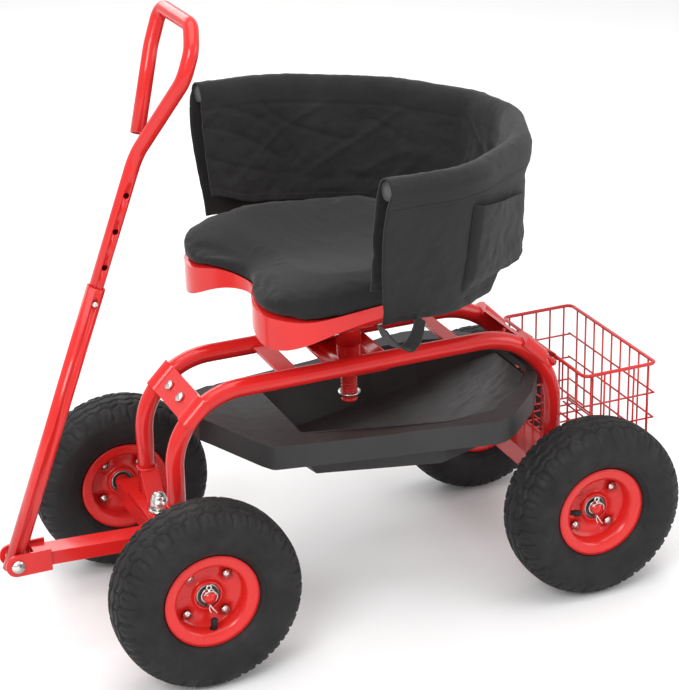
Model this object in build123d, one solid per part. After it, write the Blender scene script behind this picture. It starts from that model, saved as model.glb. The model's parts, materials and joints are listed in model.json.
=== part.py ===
"""Garden cart: a rolling tractor-style seat with a steering handle, a tool tray, a wire basket and a saddle bag.

Frame: +X towards the handle, +Y to the sitter's left, +Z up. The origin is on the floor, on the centre plane,
midway between the two axles. All sizes are in millimetres.
"""

import os
from math import cos, hypot, radians, sin

from build123d import *

# ---------------------------------------------------------------- driving dimensions
WHEEL_BASE = 581.0
TRACK = 372.0
TYRE_R = 130.0
TYRE_WIDTH = 86.0
RIM_FLANGE_R = 66.0
RIM_HALF_WIDTH = 28.0
RIM_SHEET = 2.5
BEAD_R = 52.0
RIM_BOLT_PCD = 76.0
AXLE_R = 8.0
BEARING_R = 17.5
BEARING_WIDTH = 8.0
HUB_FACE = 9.0
RUN = 0.05  # radial clearance of a running fit

TUBE_R = 12.7
TUBE_WALL = 1.6
RAIL_Y = 65.5
RAIL_Z = 357.0
LEG_BASE_Z = 166.0
FRONT_LEG_X = 285.0
REAR_LEG_X = -290.0
FRONT_BEND_R = 100.0
REAR_BEND_R = 118.0

SEAT_TURN = 6.6  # the seat stands a little turned on its screw
SCREW_R = 12.0
SCREW_PITCH = 5.0
SCREW_LOW = 275.0
BOSS_R = 17.0
BOSS_LOW = 338.0
BOSS_TOP = 363.0
COLLAR_R = 18.5
COLLAR_LOW = 364.0
COLLAR_TOP = 401.0
PAN_SHEET = 3.0

HOOP_Z = 676.0
HOOP_R = 12.5
HOOP_HALF = 262.0
HOOP_FRONT = 85.0
BAG_DROP = 182.0
BAG_CLOTH = 4.0
SLEEVE_R = 17.0

HANDLE_LEAN = 20.9
PIVOT_X = 499.6
PIVOT_Z = 135.2
LOWER_TUBE_R = 12.7
LOWER_TUBE_TOP = 400.0
UPPER_TUBE_R = 10.0
UPPER_TUBE_LOW = 172.0
LOOP_START = 583.0
SLIDE_DOWN = 150.0
PIVOT_PIN_R = 6.0

TRAY_SHEET = 3.0
TRAY_SKIRT = 34.0
TRAY_FLOOR_Z = 212.0

BASKET_FRONT = -309.0
BASKET_REAR = -426.0
BASKET_HALF = 125.0
BASKET_TOP = 299.0
BASKET_LOW = 143.0
WIRE_R = 1.4
RIM_WIRE_R = 2.6

WHEEL_Z = TYRE_R
FRONT_AXLE_X = WHEEL_BASE / 2
REAR_AXLE_X = -WHEEL_BASE / 2
WHEEL_Y = TRACK / 2

os.makedirs("parts", exist_ok=True)


# ---------------------------------------------------------------- helpers
def save(name, shape):
    """Writes one sub-part."""
    shape.label = name
    export_step(shape, f"parts/{name}.step")


def rod(start, end, radius):
    """A round bar between two points."""
    a, b = Vector(*start), Vector(*end)
    axis = b - a
    return Plane(origin=a, z_dir=axis) * extrude(Circle(radius), axis.length)


def sleeve(start, end, outer, inner):
    """A round tube between two points."""
    a, b = Vector(*start), Vector(*end)
    axis = b - a
    ring = Circle(outer) - Circle(inner)
    return Plane(origin=a, z_dir=axis) * extrude(ring, axis.length)


def block(x0, x1, y0, y1, z0, z1):
    """A box between two corners."""
    return Pos((x0 + x1) / 2, (y0 + y1) / 2, (z0 + z1) / 2) * Box(x1 - x0, y1 - y0, z1 - z0)


def tube_along(path, outer, inner=0.0):
    """A round tube, or a bar if it has no bore, swept along a path."""
    start = Plane(origin=path @ 0, z_dir=path % 0)
    bar = sweep(start * Circle(outer), path=path)
    if inner:
        bar = bar - sweep(start * Circle(inner), path=path)
    return bar


def side_profile(points, low_y, high_y):
    """A closed outline in the XZ plane, pulled from one Y to the other."""
    face = make_face(Polyline(*[(x, low_y, z) for x, z in points], close=True))
    return extrude(face, amount=high_y - low_y, dir=(0, 1, 0))


def plan_prism(points, low_z, high_z):
    """A closed plan outline pulled from one height to another."""
    face = make_face(Polyline(*[(x, y, low_z) for x, y in points], close=True))
    return extrude(face, amount=high_z - low_z, dir=(0, 0, 1))


def both_sides(points):
    """A half outline from front to rear at positive Y, closed by its mirror image."""
    return list(points) + [(x, -y) for x, y in reversed(points)]


def group(parts):
    """Separate solids that share one node."""
    return Compound(children=list(parts))


def one(shape):
    """The single solid of a result."""
    solids = shape.solids()
    return solids[0] if len(solids) == 1 else Compound(children=list(solids))


# ---------------------------------------------------------------- wheels
def revolve_about_y(points):
    """Turns an outline of (radius, y) points once round the Y axis."""
    face = make_face(Polyline(*[(r, y, 0) for r, y in points], close=True))
    return revolve(face, axis=Axis.Y)


def tyre():
    """A hollow pneumatic tyre with a squarish tread."""
    half = TYRE_WIDTH / 2
    outer = [
        (BEAD_R + 1.5, 22), (RIM_FLANGE_R, 25.2), (RIM_FLANGE_R + 2.5, RIM_HALF_WIDTH), (86, half - 1.5),
        (100, half), (112, half - 2),
        (122, half - 10), (128, half - 22), (TYRE_R, 0),
    ]
    inner = [(123, 0), (120, half - 23), (113, half - 13), (100, half - 7), (86, half - 8), (BEAD_R + 1.5, 13)]
    right = outer + [(r, -y) for r, y in reversed(outer[:-1])]
    cavity = [(r, -y) for r, y in reversed(inner)] + inner[1:]
    return revolve_about_y(right + cavity)


def rim_half(side):
    """One pressed half of the split rim: bearing cup, disc, barrel and flange."""
    t = RIM_SHEET
    cup = HUB_FACE + 1.5
    profile = [
        (BEARING_R, 0), (BEARING_R, cup), (BEARING_R + t, cup), (BEARING_R + t, t + 3), (24, t),
        (BEAD_R - 4, t), (BEAD_R - t, 8), (BEAD_R - t, 25), (RIM_FLANGE_R, RIM_HALF_WIDTH),
        (RIM_FLANGE_R, RIM_HALF_WIDTH - t), (BEAD_R + 1, 23), (BEAD_R, 6), (BEAD_R - 3, 0),
    ]
    half = revolve_about_y([(r, side * y) for r, y in profile])
    holes = [rod((x, -5, z), (x, 5, z), 4.1) for x, z in rim_bolt_places()]
    for hole in holes:
        half = half - hole
    return half


def rim_bolt_places():
    """The four rim bolts' centres, as (x, z) from the hub."""
    r = RIM_BOLT_PCD / 2
    return [(r * cos(radians(a)), r * sin(radians(a))) for a in (50, 140, 230, 320)]


def rim_bolts(outward):
    """Hexagon bolts with their nuts, heads on the outward side."""
    bolts = []
    for x, z in rim_bolt_places():
        shank = rod((x, -outward * 10, z), (x, outward * RIM_SHEET, z), 4.0)
        outer_face = Plane(origin=(x, outward * RIM_SHEET, z), z_dir=(0, outward, 0))
        head = outer_face * extrude(RegularPolygon(6.5, 6), 5)
        inner_face = Plane(origin=(x, -outward * RIM_SHEET, z), z_dir=(0, -outward, 0))
        nut = inner_face * extrude(RegularPolygon(6.5, 6), 6)
        bolts.append(one(shank + head + nut))
    return group(bolts)


def bearings():
    """Two ball-bearing rings, one in each cup."""
    low = HUB_FACE - BEARING_WIDTH
    return group([sleeve((0, s * low, 0), (0, s * HUB_FACE, 0), BEARING_R, AXLE_R + RUN) for s in (1, -1)])


def place_wheel(shape, x, side):
    return Pos(x, side * WHEEL_Y, WHEEL_Z) * shape


for end, axle_x in (("front", FRONT_AXLE_X), ("rear", REAR_AXLE_X)):
    for hand, side in (("left", 1), ("right", -1)):
        wheel = f"{end}_{hand}"
        save(f"{wheel}_tyre", place_wheel(tyre(), axle_x, side))
        save(f"{wheel}_rim_outer", place_wheel(rim_half(side), axle_x, side))
        save(f"{wheel}_rim_inner", place_wheel(rim_half(-side), axle_x, side))
        save(f"{wheel}_bearings", place_wheel(bearings(), axle_x, side))
        save(f"{wheel}_rim_bolts", place_wheel(rim_bolts(side), axle_x, side))


# ---------------------------------------------------------------- axles
AXLE_END = WHEEL_Y + 20.0
WASHER_R = 10.5
WASHER_LOW, WASHER_HIGH = 0.3, 1.8
PIN_INSET = 6.0


def axle(x):
    """The round axle with a cross hole for a split pin at each end."""
    bar = rod((x, -AXLE_END, WHEEL_Z), (x, AXLE_END, WHEEL_Z), AXLE_R)
    for side in (1, -1):
        y = side * (AXLE_END - PIN_INSET)
        bar = bar - rod((x, y, WHEEL_Z - 12), (x, y, WHEEL_Z + 12), 2.1)
    return bar


def axle_end_fasteners(x):
    """A washer and a split pin at each end of an axle."""
    pieces = []
    for side in (1, -1):
        start = (x, side * (WHEEL_Y + HUB_FACE + WASHER_LOW), WHEEL_Z)
        end = (x, side * (WHEEL_Y + HUB_FACE + WASHER_HIGH), WHEEL_Z)
        pieces.append(sleeve(start, end, WASHER_R, AXLE_R + 0.2))
        pin_y = side * (AXLE_END - PIN_INSET)
        shank = rod((x, pin_y, WHEEL_Z - 15), (x, pin_y, WHEEL_Z + 12), 1.8)
        eye = Pos(x, pin_y, WHEEL_Z + 14) * Rot(90, 0, 0) * Torus(3.2, 1.3)
        pieces.append(one(shank + eye))
    return pieces


def spacer(x, side, beam_end):
    """The tube that keeps a wheel off the axle beam."""
    start = (x, side * beam_end, WHEEL_Z)
    end = (x, side * (WHEEL_Y - HUB_FACE - 0.1), WHEEL_Z)
    return sleeve(start, end, AXLE_R + 3, AXLE_R)


def channel(axle_x, rear_x, front_x, half_length, top_z, depth):
    """A downward channel along Y: a top plate, two flanges, and end cheeks that carry the axle."""
    y = half_length
    beam = block(rear_x, front_x, -y, y, top_z - BEAM_SHEET, top_z)
    beam = beam + block(front_x - BEAM_SHEET, front_x, -y, y, top_z - depth, top_z)
    beam = beam + block(rear_x, rear_x + BEAM_SHEET, -y, y, top_z - depth, top_z)
    for low_y in (-y, y - BEAM_SHEET):
        beam = beam + block(rear_x, front_x, low_y, low_y + BEAM_SHEET, WHEEL_Z - AXLE_R - 5, top_z)
    return beam - rod((axle_x, -y - 5, WHEEL_Z), (axle_x, y + 5, WHEEL_Z), AXLE_R)


BEAM_SHEET = 3.5
FRONT_BEAM_HALF = 128.0
FRONT_BEAM_TOP = 157.0
REAR_BEAM_HALF = 118.0
KING_PIN_R = 8.0
YOKE_SHEET = 6.0
YOKE_LOW = 159.0

front_beam = channel(FRONT_AXLE_X, FRONT_AXLE_X - 22, FRONT_AXLE_X + 22, FRONT_BEAM_HALF, FRONT_BEAM_TOP, 26.0)
front_beam = front_beam + spacer(FRONT_AXLE_X, 1, FRONT_BEAM_HALF) + spacer(FRONT_AXLE_X, -1, FRONT_BEAM_HALF)
front_beam = front_beam - rod((FRONT_AXLE_X, 0, 140), (FRONT_AXLE_X, 0, 170), KING_PIN_R)
save("front_axle", axle(FRONT_AXLE_X))

# king pin: head under the beam, shank up through beam and yoke, domed nut and washer on top
KING_PIN_TOP = 196.0
pin_shank = rod((FRONT_AXLE_X, 0, 141), (FRONT_AXLE_X, 0, KING_PIN_TOP - 6), KING_PIN_R)
pin_head = Pos(FRONT_AXLE_X, 0, 139) * extrude(RegularPolygon(13, 6), FRONT_BEAM_TOP - BEAM_SHEET - 139)
save("king_pin", one(pin_shank + pin_head))

NUT_LOW = YOKE_LOW + YOKE_SHEET + 3.2
nut_axis = Pos(FRONT_AXLE_X, 0, 0)
acorn = nut_axis * Pos(0, 0, NUT_LOW) * extrude(RegularPolygon(12.0, 6), 15)
dome = nut_axis * Pos(0, 0, NUT_LOW + 15) * Sphere(10.3)
dome = dome & block(FRONT_AXLE_X - 20, FRONT_AXLE_X + 20, -20, 20, NUT_LOW + 14, KING_PIN_TOP + 10)
acorn = acorn + dome - rod((FRONT_AXLE_X, 0, NUT_LOW - 1), (FRONT_AXLE_X, 0, KING_PIN_TOP - 5.9), KING_PIN_R)
king_washer = sleeve((FRONT_AXLE_X, 0, YOKE_LOW + YOKE_SHEET + 0.3), (FRONT_AXLE_X, 0, NUT_LOW - 0.1),
                     15.0, KING_PIN_R + 0.1)
save("front_axle_fasteners", group(axle_end_fasteners(FRONT_AXLE_X) + [king_washer, one(acorn)]))

rear_beam = channel(REAR_AXLE_X, -305.0, -250.0, REAR_BEAM_HALF, LEG_BASE_Z, 30.0)
rear_beam = rear_beam + spacer(REAR_AXLE_X, 1, REAR_BEAM_HALF) + spacer(REAR_AXLE_X, -1, REAR_BEAM_HALF)
save("rear_axle_beam", one(rear_beam))
save("rear_axle", axle(REAR_AXLE_X))


# ---------------------------------------------------------------- frame
def rail(side):
    """One tube bent down at both ends into a front and a rear leg."""
    y = side * RAIL_Y
    corners = [
        (FRONT_LEG_X, y, LEG_BASE_Z),
        (FRONT_LEG_X, y, RAIL_Z),
        (REAR_LEG_X, y, RAIL_Z),
        (REAR_LEG_X, y, LEG_BASE_Z),
    ]
    path = FilletPolyline(*corners, radius=[FRONT_BEND_R, REAR_BEND_R])
    return tube_along(path, TUBE_R, TUBE_R - TUBE_WALL)


left_rail = rail(1)
right_rail = rail(-1)
save("left_rail", one(left_rail))
save("right_rail", one(right_rail))
solid_rails = [
    tube_along(
        FilletPolyline(
            (FRONT_LEG_X, s * RAIL_Y, LEG_BASE_Z), (FRONT_LEG_X, s * RAIL_Y, RAIL_Z),
            (REAR_LEG_X, s * RAIL_Y, RAIL_Z), (REAR_LEG_X, s * RAIL_Y, LEG_BASE_Z),
            radius=[FRONT_BEND_R, REAR_BEND_R],
        ),
        TUBE_R,
    )
    for s in (1, -1)
]


def clear_of_rails(shape):
    """Cuts a frame member back to the tubes that it is welded to."""
    for tube in solid_rails:
        shape = shape - tube
    return shape


# front yoke: a flat plate under the legs with rounded cheeks between them
yoke = block(FRONT_LEG_X - 24, FRONT_LEG_X + 26, -80, 80, YOKE_LOW, YOKE_LOW + YOKE_SHEET)
yoke = yoke + block(FRONT_LEG_X - 14, FRONT_LEG_X + 14, -80, -51, YOKE_LOW, LEG_BASE_Z)
yoke = yoke + block(FRONT_LEG_X - 14, FRONT_LEG_X + 14, 51, 80, YOKE_LOW, LEG_BASE_Z)
for s in (1, -1):
    gusset = make_face(Polyline((0, s * 26, LEG_BASE_Z - 2), (0, s * 54, LEG_BASE_Z - 2),
                                (0, s * 54, LEG_BASE_Z + 36), close=True))
    gusset = Pos(FRONT_LEG_X - 13, 0, 0) * extrude(gusset, amount=26, dir=(1, 0, 0))
    yoke = yoke + gusset
yoke = yoke - rod((FRONT_AXLE_X, 0, 140), (FRONT_AXLE_X, 0, 190), KING_PIN_R + RUN)
save("front_yoke", one(clear_of_rails(yoke)))


def saddle(centre_x, centre_z, tilt, width, side_lip):
    """A pressed plate across both tubes at a bend, with lips that wrap them."""
    half = RAIL_Y + TUBE_R + 3
    plate = Box(width, 2 * (RAIL_Y - 4), 4)
    for s in (1, -1):
        wrap = Rot(90, 0, 0) * extrude(Circle(TUBE_R + 3), width / 2, both=True)
        wrap = Rot(0, 0, 90) * wrap
        wrap = wrap & block(-width, width, -40, 40, -2, 40)
        plate = plate + Pos(0, s * RAIL_Y, -TUBE_R + side_lip) * wrap
    trim = Box(2 * width, 2 * half, 80)
    return Pos(centre_x, 0, centre_z) * Rot(0, tilt, 0) * (plate & trim)


front_saddle = clear_of_rails(saddle(255.0, 336.0, 45.0, 42.0, 6.0))
rear_saddle = clear_of_rails(saddle(-257.0, 334.0, -45.0, 46.0, 6.0))

CROSSBAR_TOP = RAIL_Z + 4
front_bar = block(96, 124, -RAIL_Y, RAIL_Y, CROSSBAR_TOP - 5, CROSSBAR_TOP)
rear_bar = block(-150, -128, -RAIL_Y, RAIL_Y, CROSSBAR_TOP - 5, CROSSBAR_TOP)
save("front_crossbar", one(clear_of_rails(front_bar)))
save("rear_crossbar", one(clear_of_rails(rear_bar)))

# seat mount: a plate dished between the rails with the threaded boss in its middle
plate_profile = [
    (-46, -10), (-30, -16), (30, -16), (46, -10), (46, -6), (28, -12), (-28, -12), (-46, -6),
]
mount_plate = side_profile([(x, RAIL_Z + z) for x, z in plate_profile], -RAIL_Y, RAIL_Y)
mount_plate = mount_plate - rod((0, 0, BOSS_LOW - 20), (0, 0, BOSS_TOP + 20), BOSS_R)
boss = sleeve((0, 0, BOSS_LOW), (0, 0, BOSS_TOP), BOSS_R, SCREW_R + RUN)
save("seat_mount_plate", one(clear_of_rails(mount_plate) + boss))


# ---------------------------------------------------------------- tray
TRAY_TOP = [
    (240.0, 313.0), (163.0, 284.0), (0.0, 281.0), (-153.0, 284.0), (-292.0, 302.0),
]
TRAY_OUTLINE = both_sides([
    (239, 40), (228, 50), (176, 106), (158, 117), (-29, 147), (-140, 174), (-160, 174), (-178, 166), (-226, 124),
    (-260, 76), (-282, 20),
])


def tray_band(low, high):
    """The space between two surfaces that follow the tray's top line."""
    upper = [(x, z + high) for x, z in TRAY_TOP]
    lower = [(x, z + low) for x, z in reversed(TRAY_TOP)]
    return side_profile(upper + lower, -200, 200)


def ruled(sections):
    """A ruled solid through closed outlines with equal numbers of corners."""
    return loft([make_face(Polyline(*s, close=True)) for s in sections], ruled=True)


def tub(grow):
    """The tray's well: a tapered front part, then a rear part that slopes up. It grows by its wall."""
    g = grow
    low = TRAY_FLOOR_Z - g
    top = 283.0
    opening = [(182 + g, 14), (124 + g, 82 + g), (-87, 140 + g)]
    floor = [(92 + g, 12), (80 + g, 70 + g), (-87, 116 + g)]
    front = ruled([
        [(x, y, low) for x, y in both_sides(floor)],
        [(x, y, top) for x, y in both_sides(opening)],
    ])
    cross = [(-87, 140, 116, TRAY_FLOOR_Z, top), (-160, 138, 110, 226, 286), (-222, 98, 80, 258, 294),
             (-258, 50, 40, 286, 299)]
    rear = ruled([
        [(x, -b - g, z - g), (x, b + g, z - g), (x, a + g, t), (x, -a - g, t)]
        for x, a, b, z, t in cross
    ])
    return front + rear


tray_prism = plan_prism(TRAY_OUTLINE, 150, 400)
inner_outline = make_face(Polyline(*[(x, y, 150) for x, y in TRAY_OUTLINE], close=True))
inner_prism = extrude(offset(inner_outline, -TRAY_SHEET), amount=250, dir=(0, 0, 1))
deck = tray_band(-TRAY_SHEET, 0) & tray_prism
skirt = (tray_band(-TRAY_SKIRT, 0) & tray_prism) - inner_prism
well = tub(0.0)
tray = deck + skirt + (tub(TRAY_SHEET) & plan_prism(TRAY_OUTLINE, 150, 283)) - well

# a folded tab joins the tray's tip to the underside of the front bracket
SHEET_DROP = TRAY_SHEET * 1.42
tab_points = [
    (238, 309.2), (267.8, 320.5), (246, 342.2), (243.9, 342.2 + 2.1 - SHEET_DROP), (262.5, 321.5), (238, 312.2),
]
tray = tray + side_profile(tab_points, -30, 30)


def bolt(head_point, normal, grip):
    """A hexagon bolt with its nut; the head sits on head_point and the nut a grip's length below."""
    top = Vector(*head_point)
    up = Vector(*normal)
    shank = rod(top, top - up * (grip + 8), 4.0)
    head = Plane(origin=top, z_dir=up) * extrude(RegularPolygon(7.0, 6), 5)
    nut = Plane(origin=top - up * grip, z_dir=-up) * extrude(RegularPolygon(7.0, 6), 6)
    return one(shank + head + nut)


BRACKET_NORMAL = (sin(radians(45)), 0.0, cos(radians(45)))
DECK_NORMAL = (0.1285, 0.0, 0.9917)
front_bolts = [bolt((256.4, y, 337.4), BRACKET_NORMAL, 4 + TRAY_SHEET) for y in (22, -22)]
rear_bolts = [bolt((-276.6, y, 303.1), DECK_NORMAL, 2 * TRAY_SHEET) for y in (12, -12)]

rear_foot = tray_band(0, TRAY_SHEET) & block(-284, -269, -20, 20, 290, 320)
rear_lip = block(-273, -269, -40, 40, 290, 324) - tray_band(-60, 0)
rear_saddle = rear_saddle + rear_foot + rear_lip
for fixing in front_bolts:
    front_saddle = front_saddle - fixing
    tray = tray - fixing
for fixing in rear_bolts:
    rear_saddle = rear_saddle - fixing
    tray = tray - fixing
save("tray", one(clear_of_rails(tray - front_saddle - rear_saddle)))
save("front_cross_bracket", one(front_saddle))
save("rear_cross_bracket", one(rear_saddle))
save("frame_fasteners", group(axle_end_fasteners(REAR_AXLE_X) + front_bolts + rear_bolts))

BASKET_BAR_X = -292.0
BASKET_BAR_Z = 302.0
BASKET_BAR_R = 5.0
basket_bar = rod((BASKET_BAR_X, -RAIL_Y, BASKET_BAR_Z), (BASKET_BAR_X, RAIL_Y, BASKET_BAR_Z), BASKET_BAR_R)
save("basket_bar", one(clear_of_rails(basket_bar)))


# ---------------------------------------------------------------- seat post
def threaded_screw():
    """The seat screw: a plain head inside the collar and ring-cut threads below it."""
    root = SCREW_R - 2.0
    points = [(0, SCREW_LOW), (root, SCREW_LOW)]
    z = SCREW_LOW + 1.0
    while z < BOSS_TOP - SCREW_PITCH:
        points += [(root, z), (SCREW_R, z + 1.6), (SCREW_R, z + 2.6), (root, z + 4.2)]
        z += SCREW_PITCH
    points += [(SCREW_R, BOSS_TOP - 1), (SCREW_R, COLLAR_TOP - 6), (0, COLLAR_TOP - 6)]
    face = make_face(Polyline(*[(r, 0, h) for r, h in points], close=True))
    return revolve(face, axis=Axis.Z)


save("seat_screw", threaded_screw())
STOP_LOW = SCREW_LOW + 11.5
save("stop_washer", sleeve((0, 0, STOP_LOW), (0, 0, STOP_LOW + 3), 16.0, SCREW_R + RUN))


# ---------------------------------------------------------------- seat pan and cushion
STATIONS = [-180.0, -110.0, -20.0, 70.0, 130.0, 195.0]
ACROSS = [205.0, 150.0, 96.0, 0.0]
PAN_HEIGHTS = [
    (512, 502, 497, 495), (504, 480, 462, 450), (499, 464, 430, 410),
    (496, 466, 434, 426), (488, 478, 470, 470), (475, 478, 480, 492),
]
LIP_HEIGHTS = [
    (500, 490, 485, 483), (490, 466, 448, 437), (486, 450, 416, 397),
    (482, 450, 418, 411), (470, 450, 438, 455), (452, 440, 445, 480),
]
CUSHION_HEIGHTS = [
    (530, 532, 535, 536), (521, 523, 524, 522), (524, 527, 524, 518),
    (527, 530, 524, 516), (518, 527, 523, 512), (500, 504, 502, 497),
]
SEAT_OUTLINE = [
    (152, 0), (160, 28), (180, 62), (190, 96), (184, 132), (160, 165), (110, 183), (30, 190), (-60, 180),
    (-122, 150), (-158, 92), (-170, 0),
]


def raised(table, amount):
    return [tuple(z + amount for z in row) for row in table]


def dished_face(table):
    """A smooth dished surface through the heights at the stations."""
    rows = []
    for x, heights in zip(STATIONS, table):
        half = [Vector(x, y, z) for y, z in zip(ACROSS, heights)]
        rows.append(half + [Vector(x, -v.Y, v.Z) for v in reversed(half[:-1])])
    return Face.make_surface_from_array_of_points(rows, tol=0.01, min_deg=3, max_deg=5)


def between_surfaces(low_table, high_table):
    """The solid between two dished surfaces, each given by its heights at the stations."""
    low = extrude(dished_face(low_table), amount=150, dir=(0, 0, 1))
    high = extrude(dished_face(high_table), amount=300, dir=(0, 0, 1))
    return low - high


def seat_prism(inset):
    """The seat's plan outline, with two thigh lobes and a notch, moved inwards and pulled upwards."""
    ring = SEAT_OUTLINE + [(x, -y) for x, y in reversed(SEAT_OUTLINE[1:-1])]
    moved = []
    for i, (x, y) in enumerate(ring[: len(SEAT_OUTLINE)]):
        before, after = ring[i - 1], ring[(i + 1) % len(ring)]
        dx, dy = after[0] - before[0], after[1] - before[1]
        size = hypot(dx, dy)
        moved.append((x - inset * dy / size, y + inset * dx / size))
    left = Spline(*[(x, y, 0) for x, y in moved], tangents=[(0, 1, 0), (0, -1, 0)])
    right = Spline(*[(x, -y, 0) for x, y in moved], tangents=[(0, -1, 0), (0, 1, 0)])
    outline = make_face(Wire([left.edge(), right.edge()]))
    return Pos(0, 0, 350) * extrude(outline, amount=260, dir=(0, 0, 1))


def turned(shape):
    """Places a piece of the seat as it stands, turned on the screw."""
    return Rot(0, 0, SEAT_TURN) * shape


pan_sheet = between_surfaces(PAN_HEIGHTS, raised(PAN_HEIGHTS, PAN_SHEET))
lip_region = between_surfaces(LIP_HEIGHTS, raised(PAN_HEIGHTS, 1.0))
full_prism = seat_prism(0)
lip = (full_prism - seat_prism(PAN_SHEET)) & lip_region
seat_pan = one((pan_sheet & full_prism) + lip)
save("seat_pan", turned(seat_pan))

cushion_region = between_surfaces(raised(PAN_HEIGHTS, PAN_SHEET + 0.4), CUSHION_HEIGHTS)
seat_cushion = one(cushion_region & seat_prism(4.0))
save("seat_cushion", turned(seat_cushion))

collar = rod((0, 0, COLLAR_LOW), (0, 0, COLLAR_TOP + 12), COLLAR_R)
collar = collar - rod((0, 0, COLLAR_LOW - 5), (0, 0, COLLAR_TOP - 5), SCREW_R + RUN)
above_pan = between_surfaces(PAN_HEIGHTS, raised(PAN_HEIGHTS, 60.0))
collar = one(collar - above_pan)


# ---------------------------------------------------------------- hoop
HOOP_SLOPE = 0.044


def hoop_height(x):
    """The hoop's centre line drops a little towards the back."""
    return HOOP_Z - HOOP_SLOPE * (HOOP_FRONT - x)


HOOP_CORNERS = [(-30.0, HOOP_HALF), (-175.0, 168.0), (-243.0, 45.0)]
HOOP_RADII = [150.0, 150.0, 80.0]


def hoop_path(front, height):
    """The hoop's centre line from the left arm round the back to the right arm."""
    half = [(front, HOOP_HALF)] + HOOP_CORNERS
    points = half + [(x, -y) for x, y in reversed(half)]
    radii = HOOP_RADII + list(reversed(HOOP_RADII))
    return FilletPolyline(*[(x, y, height(x)) for x, y in points], radius=radii)


hoop_line = hoop_path(HOOP_FRONT, hoop_height)
hoop = tube_along(hoop_line, HOOP_R, HOOP_R - TUBE_WALL)
save("hoop_tube", turned(one(hoop)))

plugs = []
for side in (1, -1):
    start = Vector(HOOP_FRONT, side * HOOP_HALF, HOOP_Z)
    ahead = Vector(1, 0, HOOP_SLOPE).normalized()
    cap = rod(start, start + ahead * 4, HOOP_R)
    stem = rod(start - ahead * 14, start, HOOP_R - TUBE_WALL - 0.2)
    plugs.append(turned(one(cap + stem)))
save("hoop_plugs", group(plugs))


def strip(points, thickness, low_y, high_y):
    """A bent flat bar whose middle follows points in the XZ plane."""
    left, right = [], []
    for i, (x, z) in enumerate(points):
        before = points[max(i - 1, 0)]
        after = points[min(i + 1, len(points) - 1)]
        along = Vector(after[0] - before[0], 0, after[1] - before[1]).normalized()
        nx, nz = -along.Z * thickness / 2, along.X * thickness / 2
        left.append((x + nx, z + nz))
        right.append((x - nx, z - nz))
    return side_profile(left + right[::-1], low_y, high_y)


HOOP_REAR_X = -243.0
bracket_line = [
    (34, 392), (-60, 392), (-90, 396), (-205, 446), (-228, 458), (-241, 474), (HOOP_REAR_X, 490),
    (HOOP_REAR_X, hoop_height(HOOP_REAR_X)),
]
hoop_bracket = strip(bracket_line, 4.0, -22, 22)
hoop_bracket = hoop_bracket - tube_along(hoop_line, HOOP_R)
hoop_bracket = hoop_bracket - rod((0, 0, 380), (0, 0, 410), COLLAR_R)
hoop_bracket = hoop_bracket & block(-300, 60, -40, 40, 300, hoop_height(HOOP_REAR_X) - 5)
save("seat_collar", turned(collar))

seat_bolts = []
for x, y in ((-42, 13), (-42, -13), (28, 13), (28, -13)):
    shank = rod((x, y, 390), (x, y, 440), 4.0) - above_pan
    head = Pos(x, y, 385) * extrude(RegularPolygon(7.0, 6), 5)
    seat_bolts.append(one(shank + head))
for fixing in seat_bolts:
    hoop_bracket = hoop_bracket - fixing
save("hoop_bracket", turned(one(hoop_bracket)))
save("seat_bolts", group([turned(b) for b in seat_bolts]))


# ---------------------------------------------------------------- saddle bag
BAG_FRONT = 88.0
WALL_LEAN = 3.2
SIDE_FLAP_REAR = -112.0
REAR_DROP = 158.0
POCKET_TOP = 45.0
POCKET_REAR = -160.0
POCKET_FRONT = -33.0


def bag_wall(near, far, top, bottom, front):
    """A cloth wall that follows the hoop between two distances from its centre line and leans in as it falls."""
    half = [(400.0, HOOP_HALF)] + HOOP_CORNERS
    points = half + [(x, -y) for x, y in reversed(half)]
    line = FilletPolyline(*[(x, y, 0) for x, y in points], radius=HOOP_RADII + list(reversed(HOOP_RADII)))
    area = make_face(Wire(list(line.edges()) + [Line(line @ 1, line @ 0).edge()]))
    outer, inner = [
        Pos(0, 0, HOOP_Z) * extrude(offset(area, side), amount=250, dir=(0, 0, -1), taper=WALL_LEAN)
        for side in (far, near)
    ]
    sheet = side_profile([(front, hoop_height(front) + top), (-400, hoop_height(-400) + top),
                          (-400, hoop_height(-400) + bottom), (front, hoop_height(front) + bottom)], -400, 400)
    return (outer - inner) & sheet


bag_sleeve = tube_along(hoop_line, SLEEVE_R, HOOP_R + 0.3)
WALL_OUT = SLEEVE_R - 0.6
WALL_TOP = -8.0
outer_wall = bag_wall(WALL_OUT - BAG_CLOTH, WALL_OUT, WALL_TOP, -BAG_DROP, BAG_FRONT)
below_rear_hem = side_profile([
    (SIDE_FLAP_REAR, hoop_height(SIDE_FLAP_REAR) - REAR_DROP), (-400, hoop_height(-400) - REAR_DROP), (-400, 400),
    (SIDE_FLAP_REAR, 400),
], -400, 400)
outer_wall = outer_wall - below_rear_hem
inner_wall = bag_wall(-WALL_OUT, BAG_CLOTH - WALL_OUT, WALL_TOP, -BAG_DROP + 8, BAG_FRONT - 6)
bracket_slot = block(HOOP_REAR_X - 3, HOOP_REAR_X + 3, -22.5, 22.5, 640, 672)
bag_outer = one(bag_sleeve + outer_wall - bracket_slot)
save("bag_inner", turned(one(inner_wall - tube_along(hoop_line, SLEEVE_R))))

# flat patch pockets are sewn round both rear corners of the outer panel
pocket_wall = bag_wall(WALL_OUT, WALL_OUT + BAG_CLOTH, -POCKET_TOP, -REAR_DROP, BAG_FRONT)
pocket_zones = block(POCKET_REAR, POCKET_FRONT, 0, 400, 300, 800) + block(POCKET_REAR, POCKET_FRONT, -400, 0, 300, 800)
pockets = pocket_wall & pocket_zones
save("bag_outer", group([turned(p) for p in [bag_outer] + list(pockets.solids())]))

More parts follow.
